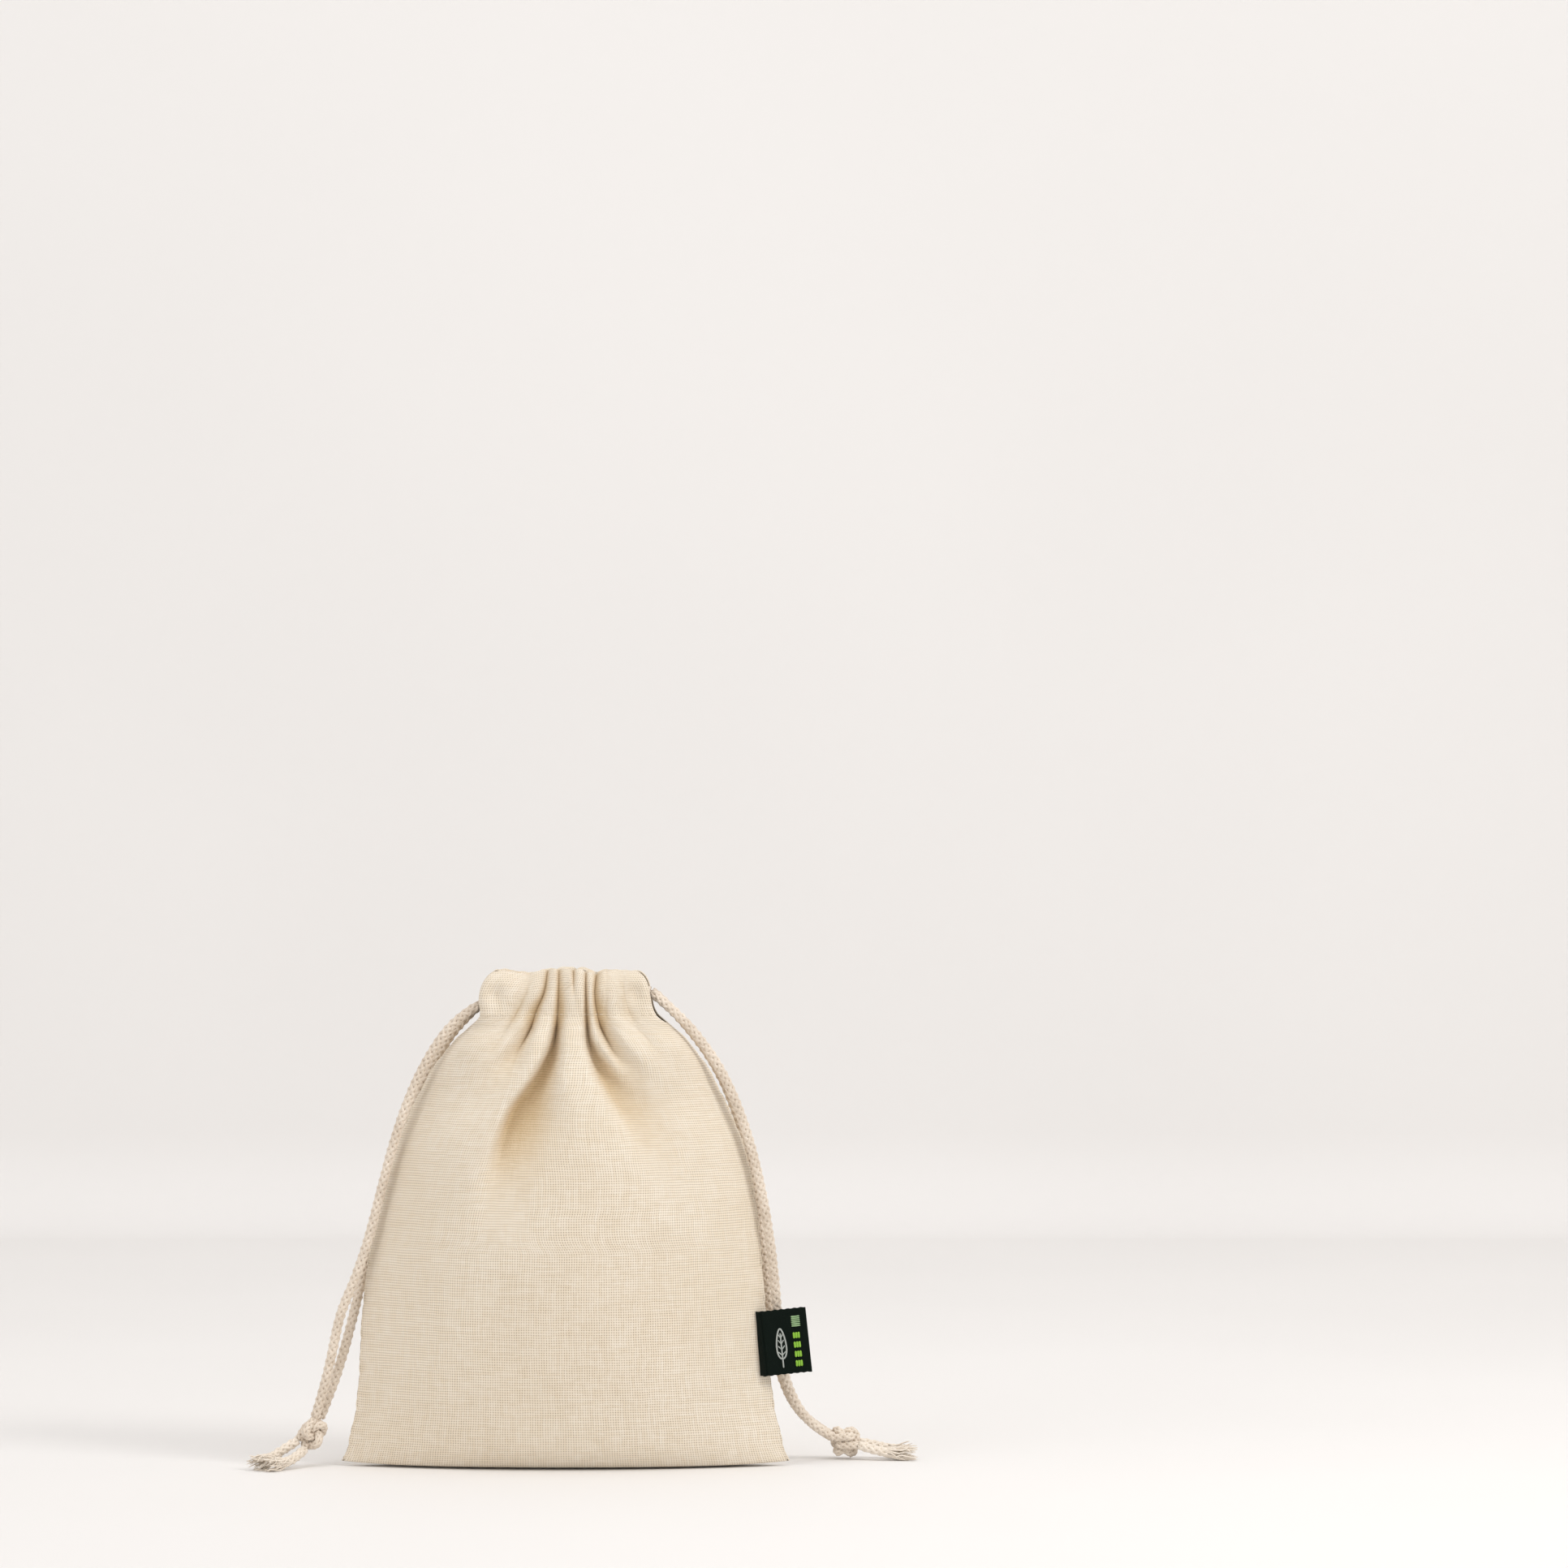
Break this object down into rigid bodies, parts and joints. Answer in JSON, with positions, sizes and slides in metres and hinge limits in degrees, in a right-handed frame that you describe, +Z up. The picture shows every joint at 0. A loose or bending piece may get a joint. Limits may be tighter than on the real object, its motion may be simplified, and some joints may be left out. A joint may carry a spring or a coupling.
{
  "type": "drawstring produce bag",
  "caption": "Small open-weave cotton drawstring bag for produce, with a drawcord on each side, knotted free ends and a folded side label.",
  "frame": {"origin": "middle of the bottom seam, on the ground", "axes": "+Z up towards the mouth, +X along the bag's width towards the label, front towards -Y"},
  "size_m": [0.2143, 0.057, 0.1668],
  "materials": {
    "cloth": "undyed open plain-weave cotton, matt",
    "cord": "undyed braided cotton cord, matt, slightly fuzzy",
    "seam_thread": "undyed cotton sewing thread",
    "label_tape": "dark woven label tape"
  },
  "bodies": {
    "bag": {"front_panel": "cloth", "back_panel": "cloth", "front_casing": "cloth", "back_casing": "cloth", "front_casing_stitch": "seam_thread", "back_casing_stitch": "seam_thread", "left_side_seam": "cloth", "right_side_seam": "cloth", "bottom_seam": "cloth", "left_slit_bartack": "seam_thread", "right_slit_bartack": "seam_thread", "label_root": "label_tape", "left_cord_bight": "cord", "right_cord_bight": "cord"},
    "left_drawcord": {"left_cord_front_run": "cord", "left_cord_back_run": "cord"},
    "left_cord_ends": {"left_strand_front": "cord", "left_strand_back": "cord", "left_knot": "cord", "left_tail_front": "cord", "left_tail_back": "cord"},
    "right_drawcord": {"right_cord_front_run": "cord", "right_cord_back_run": "cord"},
    "right_cord_ends": {"right_strand_front": "cord", "right_strand_back": "cord", "right_knot": "cord", "right_tail_front": "cord", "right_tail_back": "cord"},
    "label_flap": {"label": "label_tape"}
  },
  "joints": [
    {"name": "left_cord_pull", "type": "slide", "parent": "bag", "child": "left_drawcord", "axis": [-1, 0, 0], "range_m": [0, 0.03]},
    {"name": "right_cord_pull", "type": "slide", "parent": "bag", "child": "right_drawcord", "axis": [1, 0, 0], "range_m": [0, 0.03]},
    {"name": "left_cord_swing", "type": "hinge", "parent": "left_drawcord", "child": "left_cord_ends", "pos_m": [-0.0285, 0, 0.1536], "axis": [0, 1, 0], "range_deg": [0, 60]},
    {"name": "right_cord_swing", "type": "hinge", "parent": "right_drawcord", "child": "right_cord_ends", "pos_m": [0.0285, 0, 0.1579], "axis": [0, -1, 0], "range_deg": [0, 60]},
    {"name": "label_fold", "type": "hinge", "parent": "bag", "child": "label_flap", "pos_m": [0.06575, -0.0043, 0.04095], "axis": [0.1063, 0, -0.9943], "range_deg": [0, 80]}
  ]
}
